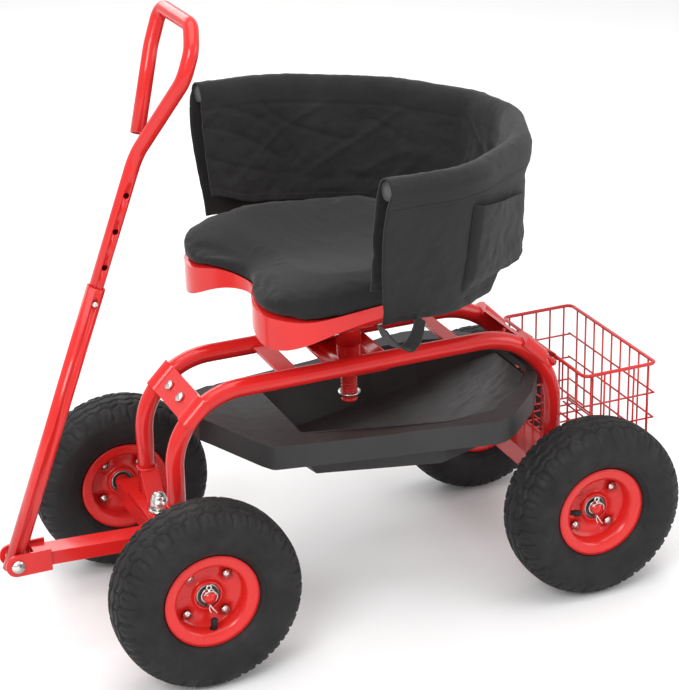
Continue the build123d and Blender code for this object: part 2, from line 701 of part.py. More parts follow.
strap = strip([(84, 492), (66, 466), (32, 491)], 2.5, HOOP_HALF + 3, HOOP_HALF + 25)
strap = strap & block(0, 120, 200, 330, 440, 490)
save("bag_strap", turned(one(strap)))


# ---------------------------------------------------------------- draw bar and handle
def along_handle(s, y=0.0):
    """A point at a distance up the handle from its pivot."""
    lean = radians(HANDLE_LEAN)
    return PIVOT_X - s * sin(lean), y, PIVOT_Z + s * cos(lean)


handle_frame = Plane(
    origin=(PIVOT_X, 0, PIVOT_Z), x_dir=(cos(radians(HANDLE_LEAN)), 0, sin(radians(HANDLE_LEAN))),
    z_dir=(-sin(radians(HANDLE_LEAN)), 0, cos(radians(HANDLE_LEAN))),
)

BAR_HALF = 16.0
BAR_HALF_HEIGHT = 10.0
BAR_WALL = 2.0
EAR_SHEET = 4.0
EAR_R = 16.0
bar_start = Vector(306, 0, 128.1)
bar_end = Vector(474, 0, 136.0)
bar_axis = (bar_end - bar_start).normalized()
bar_plane = Plane(origin=bar_start, x_dir=(0, 1, 0), z_dir=bar_axis)
bar_section = Rectangle(2 * BAR_HALF, 2 * BAR_HALF_HEIGHT)
bar_bore = Rectangle(2 * (BAR_HALF - BAR_WALL), 2 * (BAR_HALF_HEIGHT - BAR_WALL))
bar_length = (bar_end - bar_start).length
draw_bar_solid = bar_plane * extrude(bar_section, bar_length)
draw_bar = draw_bar_solid - bar_plane * extrude(bar_bore, bar_length)
for side in (1, -1):
    low_y, high_y = sorted((side * BAR_HALF, side * (BAR_HALF + EAR_SHEET)))
    ear = block(452, PIVOT_X, low_y, high_y, PIVOT_Z - EAR_R, PIVOT_Z + EAR_R)
    ear = ear + rod((PIVOT_X, low_y, PIVOT_Z), (PIVOT_X, high_y, PIVOT_Z), EAR_R)
    draw_bar = draw_bar + ear
draw_bar = draw_bar - rod((PIVOT_X, -40, PIVOT_Z), (PIVOT_X, 40, PIVOT_Z), PIVOT_PIN_R)
draw_bar = draw_bar - rod((FRONT_AXLE_X, -40, WHEEL_Z), (FRONT_AXLE_X, 40, WHEEL_Z), AXLE_R)
save("draw_bar", one(draw_bar))
save("front_axle_beam", one(front_beam - draw_bar_solid))

# pivot pin: a domed head on one side, a nut on the other, and a spacer ring each side of the handle
PIN_REACH = BAR_HALF + EAR_SHEET
pivot_pin = rod((PIVOT_X, -PIN_REACH - 9, PIVOT_Z), (PIVOT_X, PIN_REACH, PIVOT_Z), PIVOT_PIN_R)
pivot_pin = pivot_pin + rod((PIVOT_X, PIN_REACH, PIVOT_Z), (PIVOT_X, PIN_REACH + 3.5, PIVOT_Z), 9.0)
pin_nut = Plane(origin=(PIVOT_X, -PIN_REACH, PIVOT_Z), z_dir=(0, -1, 0)) * extrude(RegularPolygon(9.5, 6), 7)
rings = [
    sleeve((PIVOT_X, s * (LOWER_TUBE_R + 0.1), PIVOT_Z), (PIVOT_X, s * (BAR_HALF - 0.05), PIVOT_Z), 9.0, PIVOT_PIN_R)
    for s in (1, -1)
]
save("handle_pivot_pin", group([one(pivot_pin + pin_nut)] + rings))

BUTTON_S = LOWER_TUBE_TOP - 20
BUTTON_R = 4.0
TUBE_HOLE_R = 4.1
bore = UPPER_TUBE_R + RUN
lower_tube = Pos(0, 0, -14) * extrude(Circle(LOWER_TUBE_R) - Circle(bore), LOWER_TUBE_TOP + 14)
lower_tube = lower_tube - rod((0, -20, 0), (0, 20, 0), PIVOT_PIN_R + RUN)
lower_tube = lower_tube - rod((0, 5, BUTTON_S), (0, 20, BUTTON_S), BUTTON_R + RUN)
save("handle_lower_tube", handle_frame * one(lower_tube))

LOOP = [
    (0.0, 0.0), (122.0, 82.0), (160.0, 78.0), (187.0, 52.0), (187.0, -66.0), (135.0, -60.0), (26.0, -15.6),
]
LOOP_RADII = [60.0, 40.0, 30.0, 25.0, 16.0, 60.0]
loop_points = [(0, 0, UPPER_TUBE_LOW)] + [(0, y, LOOP_START + s) for s, y in LOOP]
loop_line = FilletPolyline(*loop_points, radius=LOOP_RADII)
upper_tube = tube_along(loop_line, UPPER_TUBE_R, UPPER_TUBE_R - 1.5)
for step in (0, 50, 100, SLIDE_DOWN):
    upper_tube = upper_tube - rod((0, 4, BUTTON_S + step), (0, 14, BUTTON_S + step), TUBE_HOLE_R)
save("handle_upper_tube", handle_frame * one(upper_tube))

button = rod((0, UPPER_TUBE_R + 0.2, BUTTON_S), (0, LOWER_TUBE_R + 1.6, BUTTON_S), BUTTON_R)
button = button + Pos(0, LOWER_TUBE_R + 1.6, BUTTON_S) * (Sphere(BUTTON_R) & Box(9, 6, 9))
save("handle_button", handle_frame * one(button))


# ---------------------------------------------------------------- wire basket
ROWS = [253.0, 214.0, 177.0]
ACROSS_WIRES = [26.0 * i for i in range(-4, 5)]
WIRE_STEP = 1.9  # distance between the centres of two crossing wires
ALONG_WIRES = [-414.0, -390.0, -366.0, -342.0, -320.0]


def wires(pairs):
    """Straight wires welded into one grid."""
    grid = rod(*pairs[0], WIRE_R)
    for a, b in pairs[1:]:
        grid = grid + rod(a, b, WIRE_R)
    return one(grid)


def end_grid(x, inwards):
    """One end: upright wires with level wires welded inside them."""
    inner = x + inwards * WIRE_STEP
    upright = [((x, y, BASKET_LOW), (x, y, BASKET_TOP)) for y in ACROSS_WIRES]
    level = [((inner, -BASKET_HALF, z), (inner, BASKET_HALF, z)) for z in ROWS + [BASKET_LOW + WIRE_STEP]]
    return wires(upright + level)


def side_grid(y, inwards):
    """One side, with its level wires a little lower than the ends' wires."""
    inner = y + inwards * WIRE_STEP
    upright = [((x, y, BASKET_LOW), (x, y, BASKET_TOP)) for x in ALONG_WIRES]
    rows = [z - WIRE_STEP / 2 for z in ROWS + [BASKET_LOW + WIRE_STEP]]
    level = [((BASKET_REAR, inner, z), (BASKET_FRONT, inner, z)) for z in rows]
    return wires(upright + level)


def floor_grid():
    """The floor: long wires with cross wires under them."""
    z = BASKET_LOW - WIRE_STEP / 2
    long_wires = [((BASKET_REAR + 4, y, z), (BASKET_FRONT - 4, y, z)) for y in ACROSS_WIRES]
    low = z - WIRE_STEP
    cross_wires = [((x, 4 - BASKET_HALF, low), (x, BASKET_HALF - 4, low)) for x in ALONG_WIRES]
    edges = [((x, 4 - BASKET_HALF, z), (x, BASKET_HALF - 4, z)) for x in (BASKET_REAR + 3.4, BASKET_FRONT - 3.4)]
    return wires(long_wires + cross_wires + edges)


rim_face = Pos((BASKET_FRONT + BASKET_REAR) / 2, 0, BASKET_TOP) * RectangleRounded(
    BASKET_FRONT - BASKET_REAR, 2 * BASKET_HALF, 9
)
rim_wire = rim_face.wires()[0]
rim = sweep(Plane(origin=rim_wire @ 0, z_dir=rim_wire % 0) * Circle(RIM_WIRE_R), path=rim_wire)
hook_line = [
    (BASKET_FRONT, BASKET_TOP - 4), (BASKET_FRONT + 1, BASKET_TOP + 4), (BASKET_BAR_X - 7, BASKET_BAR_Z + 7.5),
    (BASKET_BAR_X, BASKET_BAR_Z + 8.5), (BASKET_BAR_X + 6, BASKET_BAR_Z + 6), (BASKET_BAR_X + 8, BASKET_BAR_Z),
    (BASKET_BAR_X + 8, BASKET_BAR_Z - 9),
]
for y in (-36, 36):
    rim = rim + strip(hook_line, 2.0, y - 6, y + 6)
save("basket_rim", one(rim))

front_grid = end_grid(BASKET_FRONT, -1) - rim
rear_grid = end_grid(BASKET_REAR, 1) - rim
left_grid = side_grid(BASKET_HALF, -1) - rim - front_grid - rear_grid
right_grid = side_grid(-BASKET_HALF, 1) - rim - front_grid - rear_grid
bottom_grid = floor_grid() - front_grid - rear_grid - left_grid - right_grid
save("basket_front", one(front_grid))
save("basket_rear", one(rear_grid))
save("basket_left", one(left_grid))
save("basket_right", one(right_grid))
save("basket_floor", one(bottom_grid))
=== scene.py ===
import json
import math

import bpy
import numpy as np
from mathutils import Matrix, Vector, noise


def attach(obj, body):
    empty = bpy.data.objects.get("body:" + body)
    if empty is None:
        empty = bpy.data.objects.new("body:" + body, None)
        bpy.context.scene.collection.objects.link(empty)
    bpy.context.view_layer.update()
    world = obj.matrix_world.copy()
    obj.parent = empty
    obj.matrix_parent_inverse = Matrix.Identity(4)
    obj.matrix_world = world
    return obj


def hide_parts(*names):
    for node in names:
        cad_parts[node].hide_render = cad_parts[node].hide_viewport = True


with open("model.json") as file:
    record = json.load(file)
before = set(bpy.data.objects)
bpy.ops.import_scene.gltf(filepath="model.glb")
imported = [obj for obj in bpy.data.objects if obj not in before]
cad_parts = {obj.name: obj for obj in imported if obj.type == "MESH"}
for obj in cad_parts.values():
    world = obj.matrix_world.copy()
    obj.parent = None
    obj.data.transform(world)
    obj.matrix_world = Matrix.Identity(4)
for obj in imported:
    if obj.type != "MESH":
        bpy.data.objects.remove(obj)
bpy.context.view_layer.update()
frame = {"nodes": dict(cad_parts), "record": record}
nodes = frame["nodes"]
scene = bpy.context.scene
MM = 0.001

WHEELS = {
    "front_left": (290.5, 186.0, -95.0),
    "front_right": (290.5, -186.0, 30.0),
    "rear_left": (-290.5, 186.0, 5.0),
    "rear_right": (-290.5, -186.0, 160.0),
}
WHEEL_Z = 130.0
SEAT_TURN = math.radians(6.6)
HOOP_Z = 676.0
HOOP_SLOPE = 0.044
HOOP_FRONT = 85.0


# ---------------------------------------------------------------- materials
def set_input(bsdf, name, value):
    bsdf.inputs[name].default_value = value


class Surface:
    """A Principled material with helpers for procedural detail in object coordinates or a stored map."""

    def __init__(self, name, base, roughness, metallic=0.0):
        self.material = bpy.data.materials.new(name)
        self.material.use_nodes = True
        self.tree = self.material.node_tree
        self.bsdf = self.tree.nodes["Principled BSDF"]
        set_input(self.bsdf, "Base Color", (*base, 1.0))
        set_input(self.bsdf, "Roughness", roughness)
        set_input(self.bsdf, "Metallic", metallic)
        self.coords = self.tree.nodes.new("ShaderNodeTexCoord").outputs["Object"]
        self.last_normal = None

    def node(self, kind, **values):
        made = self.tree.nodes.new(kind)
        for key, value in values.items():
            if key in made.inputs:
                made.inputs[key].default_value = value
            else:
                setattr(made, key, value)
        return made

    def link(self, a, b):
        self.tree.links.new(a, b)

    def use_map(self, name):
        self.coords = self.node("ShaderNodeUVMap", uv_map=name).outputs["UV"]

    def scaled(self, x, y, z):
        mapping = self.node("ShaderNodeMapping")
        mapping.inputs["Scale"].default_value = (x, y, z)
        self.link(self.coords, mapping.inputs["Vector"])
        return mapping.outputs["Vector"]

    def noise(self, scale, detail=3.0, rough=0.55, vector=None):
        made = self.node("ShaderNodeTexNoise", Scale=scale, Detail=detail, Roughness=rough)
        self.link(vector or self.coords, made.inputs["Vector"])
        return made.outputs["Fac"]

    def ramp(self, source, low, high, low_at=0.3, high_at=0.7):
        made = self.node("ShaderNodeMapRange")
        made.inputs["From Min"].default_value = low_at
        made.inputs["From Max"].default_value = high_at
        made.inputs["To Min"].default_value = low
        made.inputs["To Max"].default_value = high
        self.link(source, made.inputs["Value"])
        return made.outputs["Result"]

    def colour_by(self, source, low, high, low_at=0.3, high_at=0.7):
        made = self.node("ShaderNodeValToRGB")
        stops = made.color_ramp.elements
        stops[0].position, stops[0].color = low_at, (*low, 1.0)
        stops[1].position, stops[1].color = high_at, (*high, 1.0)
        self.link(source, made.inputs["Fac"])
        self.link(made.outputs["Color"], self.bsdf.inputs["Base Color"])

    def roughness_by(self, source, low, high, low_at=0.3, high_at=0.7):
        self.link(self.ramp(source, low, high, low_at, high_at), self.bsdf.inputs["Roughness"])

    def bump(self, height, distance, strength=1.0):
        made = self.node("ShaderNodeBump", Strength=strength, Distance=distance)
        self.link(height, made.inputs["Height"])
        if self.last_normal:
            self.link(self.last_normal, made.inputs["Normal"])
        self.last_normal = made.outputs["Normal"]
        self.link(self.last_normal, self.bsdf.inputs["Normal"])

    def math(self, operation, a, b=None):
        made = self.node("ShaderNodeMath", operation=operation)
        for i, value in enumerate((a, b)):
            if value is None:
                continue
            if isinstance(value, (int, float)):
                made.inputs[i].default_value = value
            else:
                self.link(value, made.inputs[i])
        return made.outputs[0]

    def thread(self, period, axis, vector=None):
        """A row of round threads along one axis, a period apart, in metres."""
        scale = math.pi / (10 * period)
        made = self.node("ShaderNodeTexWave", Scale=scale, wave_type="BANDS", bands_direction=axis)
        made.inputs["Distortion"].default_value = 0.25
        made.inputs["Detail"].default_value = 1.0
        self.link(vector or self.coords, made.inputs["Vector"])
        return made.outputs["Fac"]


def paint(name, base, deep, bands=(0.16, 0.26)):
    s = Surface(name, base, 0.26)
    set_input(s.bsdf, "Coat Weight", 0.22)
    set_input(s.bsdf, "Coat Roughness", 0.10)
    set_input(s.bsdf, "Specular IOR Level", 0.32)
    s.colour_by(s.noise(9.0, 4.0), deep, base, 0.25, 0.75)
    s.roughness_by(s.noise(35.0, 5.0), bands[0], bands[1])
    s.bump(s.noise(420.0, 2.0), 0.00012, 0.35)
    s.bump(s.noise(60.0, 1.0), 0.00025, 0.25)
    return s.material


RED = paint("gloss_red_paint", (0.66, 0.020, 0.018), (0.58, 0.015, 0.014))
RIM_RED = paint("gloss_red_rim_paint", (0.68, 0.021, 0.018), (0.60, 0.016, 0.014), (0.20, 0.34))
WIRE_RED = paint("red_dip_coating", (0.56, 0.020, 0.019), (0.46, 0.015, 0.014), (0.25, 0.40))


def rubber():
    s = Surface("moulded_rubber", (0.020, 0.019, 0.020), 0.72)
    s.colour_by(s.noise(18.0, 6.0, 0.65), (0.0085, 0.0083, 0.0085), (0.019, 0.0185, 0.019), 0.3, 0.75)
    s.roughness_by(s.noise(55.0, 5.0), 0.52, 0.78)
    s.bump(s.noise(900.0, 3.0), 0.00015, 0.5)
    s.bump(s.noise(45.0, 3.0), 0.0004, 0.35)
    set_input(s.bsdf, "Specular IOR Level", 0.26)
    return s.material


def charcoal_plastic():
    s = Surface("charcoal_plastic", (0.042, 0.040, 0.041), 0.48)
    s.colour_by(s.noise(7.0, 5.0), (0.024, 0.023, 0.0235), (0.036, 0.0345, 0.035), 0.3, 0.7)
    streak = s.noise(40.0, 6.0, 0.7, s.scaled(1.0, 6.0, 1.0))
    s.roughness_by(streak, 0.40, 0.60)
    s.bump(s.noise(1100.0, 2.0), 0.0001, 0.5)
    set_input(s.bsdf, "Specular IOR Level", 0.3)
    return s.material


def zinc():
    s = Surface("bright_zinc", (0.68, 0.68, 0.66), 0.3, 1.0)
    s.colour_by(s.noise(160.0, 4.0), (0.58, 0.57, 0.53), (0.76, 0.76, 0.75))
    s.roughness_by(s.noise(240.0, 4.0), 0.20, 0.42)
    s.bump(s.noise(700.0, 2.0), 0.00008, 0.5)
    return s.material


def ground_steel():
    s = Surface("ground_bearing_steel", (0.55, 0.55, 0.55), 0.32, 1.0)
    s.roughness_by(s.noise(300.0, 3.0, 0.6, s.scaled(1.0, 8.0, 1.0)), 0.24, 0.45)
    s.colour_by(s.noise(90.0, 3.0), (0.45, 0.44, 0.42), (0.62, 0.62, 0.62))
    s.bump(s.noise(600.0, 2.0), 0.00006, 0.5)
    split = s.node("ShaderNodeSeparateXYZ")
    s.link(s.coords, split.inputs[0])
    ahead = s.math("SUBTRACT", s.math("ABSOLUTE", split.outputs[0]), 0.2905)
    above = s.math("SUBTRACT", split.outputs[2], 0.130)
    radius = s.math("SQRT", s.math("ADD", s.math("MULTIPLY", ahead, ahead), s.math("MULTIPLY", above, above)))
    past_bore = s.ramp(radius, 0.0, 1.0, 0.0106, 0.0110)
    before_rim = s.ramp(radius, 1.0, 0.0, 0.0148, 0.0151)
    seal = s.math("MULTIPLY", past_bore, before_rim)
    s.link(s.math("SUBTRACT", 1.0, seal), s.bsdf.inputs["Metallic"])
    tone = s.node("ShaderNodeMix", data_type="RGBA")
    s.link(seal, tone.inputs["Factor"])
    tone.inputs[6].default_value = (0.50, 0.49, 0.47, 1.0)
    tone.inputs[7].default_value = (0.012, 0.012, 0.013, 1.0)
    s.link(tone.outputs[2], s.bsdf.inputs["Base Color"])
    return s.material


def black_plastic():
    s = Surface("dark_moulded_plastic", (0.055, 0.057, 0.058), 0.45)
    s.colour_by(s.noise(30.0, 3.0), (0.045, 0.046, 0.047), (0.065, 0.067, 0.068))
    s.roughness_by(s.noise(120.0, 3.0), 0.38, 0.55)
    s.bump(s.noise(1000.0, 2.0), 0.0001, 0.5)
    return s.material


def woven(name, base, light, period, use_map, crumple=0.0012, sheen=0.25):
    """Plain-woven cloth: over-and-under threads, slubs, soft creases and a faint sheen."""
    s = Surface(name, base, 0.85)
    if use_map:
        s.use_map("cloth")
    warp = s.thread(period, "X")
    weft = s.thread(period, "Y")
    cell = s.math("MAXIMUM", s.math("MULTIPLY", warp, 1.0), s.math("MULTIPLY", weft, 0.85))
    slub = s.noise(260.0, 4.0, 0.6)
    cloud = s.noise(9.0, 5.0, 0.6)
    tone = s.math("ADD", s.math("MULTIPLY", cell, 0.35), s.math("MULTIPLY", cloud, 0.65))
    s.colour_by(tone, base, light, 0.28, 0.82)
    s.roughness_by(slub, 0.74, 0.92)
    s.bump(cell, period * 0.3, 0.6)
    s.bump(slub, 0.00025, 0.4)
    s.bump(s.noise(26.0, 4.0, 0.6), crumple, 0.45)
    set_input(s.bsdf, "Sheen Weight", sheen)
    set_input(s.bsdf, "Sheen Roughness", 0.45)
    set_input(s.bsdf, "Specular IOR Level", 0.16)
    return s.material


RUBBER = rubber()
PLASTIC = charcoal_plastic()
ZINC = zinc()
STEEL = ground_steel()
DARK_PLASTIC = black_plastic()
BAG_CLOTH = woven("black_bag_cloth", (0.0130, 0.0122, 0.0126), (0.026, 0.0248, 0.0252),
                  0.0011, True, 0.0012, 0.12)
SEAT_CLOTH = woven("black_seat_cloth", (0.0105, 0.0100, 0.0103), (0.020, 0.0192, 0.0196),
                   0.0009, False, 0.0006, 0.12)
WEBBING = woven("black_webbing", (0.012, 0.012, 0.012), (0.030, 0.030, 0.030), 0.0016, True, 0.0002, 0.15)
THREAD = woven("black_thread", (0.020, 0.020, 0.020), (0.045, 0.045, 0.045), 0.0005, False, 0.0001, 0.4)

SLOT_LOOKS = {
    "tyre": RUBBER,
    "rim_paint": RIM_RED,
    "frame_paint": RED,
    "basket_paint": WIRE_RED,
    "bearing_steel": STEEL,
    "zinc": ZINC,
    "tray_plastic": PLASTIC,
    "seat_fabric": SEAT_CLOTH,
    "bag_fabric": BAG_CLOTH,
    "webbing": WEBBING,
    "plug_plastic": DARK_PLASTIC,
}
slot_of = {p["node"]: p["material_slot"] for p in frame["record"]["subparts"]}
for name, obj in nodes.items():
    obj.data.materials.clear()
    obj.data.materials.append(SLOT_LOOKS[slot_of[name]])
    weld = obj.modifiers.new("weld", "WELD")
    weld.merge_threshold = 0.00002
    with bpy.context.temp_override(active_object=obj, object=obj, selected_objects=[obj]):
        obj.data.shade_smooth()


# ---------------------------------------------------------------- mesh helpers
def make_object(name, verts, faces, material, smooth=True):
    mesh = bpy.data.meshes.new(name)
    mesh.from_pydata([tuple(v) for v in verts], [], [tuple(f) for f in faces])
    mesh.update()
    obj = bpy.data.objects.new(name, mesh)
    scene.collection.objects.link(obj)
    mesh.materials.append(material)
    if smooth:
        mesh.shade_smooth()
    return obj


def apply_modifiers(obj):
    bpy.context.view_layer.update()
    graph = bpy.context.evaluated_depsgraph_get()
    made = bpy.data.meshes.new_from_object(obj.evaluated_get(graph), depsgraph=graph)
    obj.modifiers.clear()
    obj.data = made
    return obj


def grid_faces(rows, columns, close_rows=False, close_columns=False):
    """Quads over a rows by columns grid of points."""
    faces = []
    for i in range(rows if close_rows else rows - 1):
        for j in range(columns if close_columns else columns - 1):
            a, b = i * columns + j, i * columns + (j + 1) % columns
            c, d = ((i + 1) % rows) * columns + (j + 1) % columns, ((i + 1) % rows) * columns + j
            faces.append((a, b, c, d))
    return faces


def smoothstep(low, high, x):
    t = np.clip((x - low) / (high - low), 0.0, 1.0)
    return t * t * (3 - 2 * t)


def resampled(points, step):
    """Evenly spaced points along a polyline."""
    p = np.array(points, float)
    gaps = np.linalg.norm(np.diff(p, axis=0), axis=1)
    s = np.concatenate([[0], np.cumsum(gaps)])
    count = max(2, int(round(s[-1] / step)) + 1)
    at = np.linspace(0, s[-1], count)
    return np.stack([np.interp(at, s, p[:, k]) for k in range(p.shape[1])], axis=1), at


def smooth_line(points, per_span=12):
    """A Catmull-Rom curve through points."""
    p = [np.array(q, float) for q in points]
    p = [2 * p[0] - p[1]] + p + [2 * p[-1] - p[-2]]
    out = []
    for i in range(1, len(p) - 2):
        a, b, c, d = p[i - 1: i + 3]
        for k in range(per_span):
            t = k / per_span
            out.append(0.5 * ((2 * b) + (c - a) * t + (2 * a - 5 * b + 4 * c - d) * t * t
                              + (3 * b - a - 3 * c + d) * t ** 3))
    out.append(p[-2])
    return np.array(out)


def tube(name, line, radius, material, sides=12, closed=False, flat=1.0):
    """A round (or flattened) tube along a polyline, with capped ends."""
    pts = np.array(line, float)
    n = len(pts)
    tangents = np.gradient(pts, axis=0) if not closed else (np.roll(pts, -1, 0) - np.roll(pts, 1, 0))
    verts = []
    up = np.array([0.0, 0.0, 1.0])
    if abs(tangents[0][2]) > 0.9 * np.linalg.norm(tangents[0]):
        up = np.array([1.0, 0.0, 0.0])
    side = None
    for i in range(n):
        t = tangents[i] / (np.linalg.norm(tangents[i]) + 1e-12)
        base = up if side is None else side
        side = base - t * np.dot(base, t)
        side /= np.linalg.norm(side) + 1e-12
        other = np.cross(t, side)
        r = radius[i] if hasattr(radius, "__len__") else radius
        for k in range(sides):
            a = 2 * math.pi * k / sides
            verts.append(pts[i] + r * (math.cos(a) * side * flat + math.sin(a) * other))
    faces = grid_faces(n, sides, close_rows=closed, close_columns=True)
    if not closed:
        faces.append(tuple(range(sides))[::-1])
        faces.append(tuple((n - 1) * sides + k for k in range(sides)))
    return make_object(name, verts, faces, material)


def turn_seat(points):
    """Seat coordinates in millimetres to the row frame in metres."""
    p = np.array(points, float)
    c, s = math.cos(SEAT_TURN), math.sin(SEAT_TURN)
    return np.stack([p[:, 0] * c - p[:, 1] * s, p[:, 0] * s + p[:, 1] * c, p[:, 2]], axis=1) * MM


# ---------------------------------------------------------------- tyres
LUGS = 34
PER_LUG = 10


def tyre_profile():
    """The tyre's outside from the inner bead to the outer bead, as (y, r) in millimetres."""
    half = [
        (21.5, 54.0), (25.0, 65.5), (29.5, 69.0), (35.0, 75.0), (40.0, 84.0), (42.6, 95.0), (42.6, 104.0),
        (40.6, 112.5), (36.5, 119.5), (30.0, 124.6), (20.0, 128.2), (10.0, 129.6), (0.0, 130.0),
    ]
    line = smooth_line(half, 10)
    whole = np.concatenate([line, line[:-1][::-1] * np.array([-1.0, 1.0])])
    return resampled(whole, 1.55)[0]


def tyre_mesh():
    profile = tyre_profile()
    y, r = profile[:, 0], profile[:, 1]
    tangent = np.gradient(profile, axis=0)
    normal = np.stack([tangent[:, 1], -tangent[:, 0]], axis=1)
    normal /= np.linalg.norm(normal, axis=1)[:, None]
    if normal[len(y) // 2, 1] < 0:
        normal = -normal
    count = LUGS * PER_LUG
    verts = []
    for i in range(count):
        phase = i / PER_LUG
        lug = phase % 1.0
        zig = 2 * abs(2 * (lug - 0.5)) - 1
        centre = np.abs(np.abs(y) - (8.0 + 2.6 * zig))
        groove = 3.4 * (1 - smoothstep(1.0, 2.4, centre)) * (r > 118)
        rib = np.abs(np.abs(y) - (21.5 + 2.6 * zig))
        groove = np.maximum(groove, 3.2 * (1 - smoothstep(1.0, 2.4, rib)) * (r > 116))
        odd = int(phase) % 2
        shift = (lug + 0.004 * np.abs(y)) % 1.0
        gap = (shift < 0.18) | (shift > 0.985)
        reach = 114.0 - 3.5 * odd
        shoulder = smoothstep(24.0, 27.0, np.abs(y)) * smoothstep(reach, reach + 3.5, r)
        groove = np.maximum(groove, 2.4 * gap * shoulder)
        sipe = (np.abs(shift - 0.6) < 0.051) * smoothstep(25, 27, np.abs(y)) * smoothstep(118, 120, r)
        groove = np.maximum(groove, 1.8 * sipe)
        cross = (np.abs(lug - 0.5) < 0.06) * (np.abs(y) < 20) * (np.abs(y) > 10)
        groove = np.maximum(groove, 2.2 * cross)
        block = (np.abs(shift - 0.55) < 0.28) * smoothstep(104, 105.5, r) * (1 - smoothstep(110, 111.5, r))
        raised = 0.45 * block
        raised = raised + 0.8 * smoothstep(73.5, 74.5, r) * (1 - smoothstep(75.5, 76.5, r))
        raised = raised + 0.5 * smoothstep(88.0, 88.7, r) * (1 - smoothstep(90.0, 90.7, r))
        a = 2 * math.pi * i / count
        py = y + normal[:, 0] * (raised - groove)
        pr = r + normal[:, 1] * (raised - groove)
        pr = np.minimum(pr, 130.0)
        for yy, rr in zip(py, pr):
            verts.append((rr * math.cos(a) * MM, yy * MM, rr * math.sin(a) * MM))
    return verts, grid_faces(count, len(y), close_rows=True, close_columns=True)


tyre_verts, tyre_faces = tyre_mesh()
for wheel, (x, y, stem_angle) in WHEELS.items():
    offset = Vector((x * MM, y * MM, WHEEL_Z * MM))
    body = f"{wheel}_wheel"
    tyre = make_object(f"{wheel}_tyre_moulded", [Vector(v) + offset for v in tyre_verts], tyre_faces, RUBBER)
    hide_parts(f"{wheel}_tyre")
    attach(tyre, body)
    # valve stem: rubber foot, thin neck, capped end, leaning out of the barrel towards the hub
    side = 1 if y > 0 else -1
    a = math.radians(stem_angle)
    radial = np.array([math.cos(a), 0.0, math.sin(a)])
    out = np.array([0.0, side, 0.0])
    hub = np.array([x, y, WHEEL_Z])
    foot = hub + radial * 50.5 + out * 12.0
    tip = hub + radial * 30.0 + out * 23.0
    line = [foot + (tip - foot) * t for t in (0, 0.08, 0.2, 0.3, 0.55, 0.58, 0.62, 0.9, 0.97, 1.0)]
    radii = np.array([6.0, 5.6, 4.4, 3.9, 3.6, 4.6, 4.9, 4.9, 4.2, 2.6]) * MM
    stem = tube(f"{wheel}_valve_stem", np.array(line) * MM, radii, RUBBER, 16)
    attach(stem, body)


# ---------------------------------------------------------------- hoop path for the cloth
def filleted(points, radii):
    """A polyline with its corners rounded."""
    out = [np.array(points[0], float)]
    for i in range(1, len(points) - 1):
        a, b, c = (np.array(points[k], float) for k in (i - 1, i, i + 1))
        u, v = (a - b) / np.linalg.norm(a - b), (c - b) / np.linalg.norm(c - b)
        half = math.acos(max(-1, min(1, float(np.dot(u, v))))) / 2
        reach = radii[i - 1] / math.tan(half)
        centre = b + (u + v) / np.linalg.norm(u + v) * (radii[i - 1] / math.sin(half))
        p, q = b + u * reach, b + v * reach
        a0 = math.atan2(*(p - centre)[::-1])
        a1 = math.atan2(*(q - centre)[::-1])
        turn = (a1 - a0 + math.pi) % (2 * math.pi) - math.pi
        for k in range(25):
            t = a0 + turn * k / 24
            out.append(centre + radii[i - 1] * np.array([math.cos(t), math.sin(t)]))
    out.append(np.array(points[-1], float))
    return np.array(out)


HALF = [(85.0, 262.0), (-30.0, 262.0), (-175.0, 168.0), (-243.0, 45.0)]
CORNERS = HALF + [(x, -y) for x, y in reversed(HALF)]
RADII = [150.0, 150.0, 80.0, 80.0, 150.0, 150.0]


def hoop_height(x):
    return HOOP_Z - HOOP_SLOPE * (HOOP_FRONT - x)


path, path_s = resampled(filleted([(91.0, 262.0)] + CORNERS[1:-1] + [(91.0, -262.0)], RADII), 4.0)
tangent = np.gradient(path, axis=0)
tangent /= np.linalg.norm(tangent, axis=1)[:, None]
outward = np.stack([-tangent[:, 1], tangent[:, 0]], axis=1)
if outward[0, 1] < 0:
    outward = -outward
TOTAL = path_s[-1]


def fractal(u, v, scale, seed, octaves=3):
    return noise.fractal(Vector((u * scale, v * scale, seed)), 0.5, 2.0, octaves)


def ridge(u, v, seed):
    """Thin crease lines."""
    return 1.0 - min(1.0, abs(noise.noise(Vector((u, v, seed)))) * 4.0)


def smooth(low, high, x):
    t = min(1.0, max(0.0, (x - low) / (high - low)))
    return t * t * (3 - 2 * t)


def outer_drop(i):
    """How far the outer panel hangs below the hoop's centre line at a place along the hoop."""
    return 181.0 - 24.0 * smooth(98.0, 122.0, -path[i][0])


def inner_drop(i):
    return 160.0 - 16.0 * smooth(20.0, 90.0, path[i][0]) + 1.5 * math.sin(path_s[i] / 60.0)


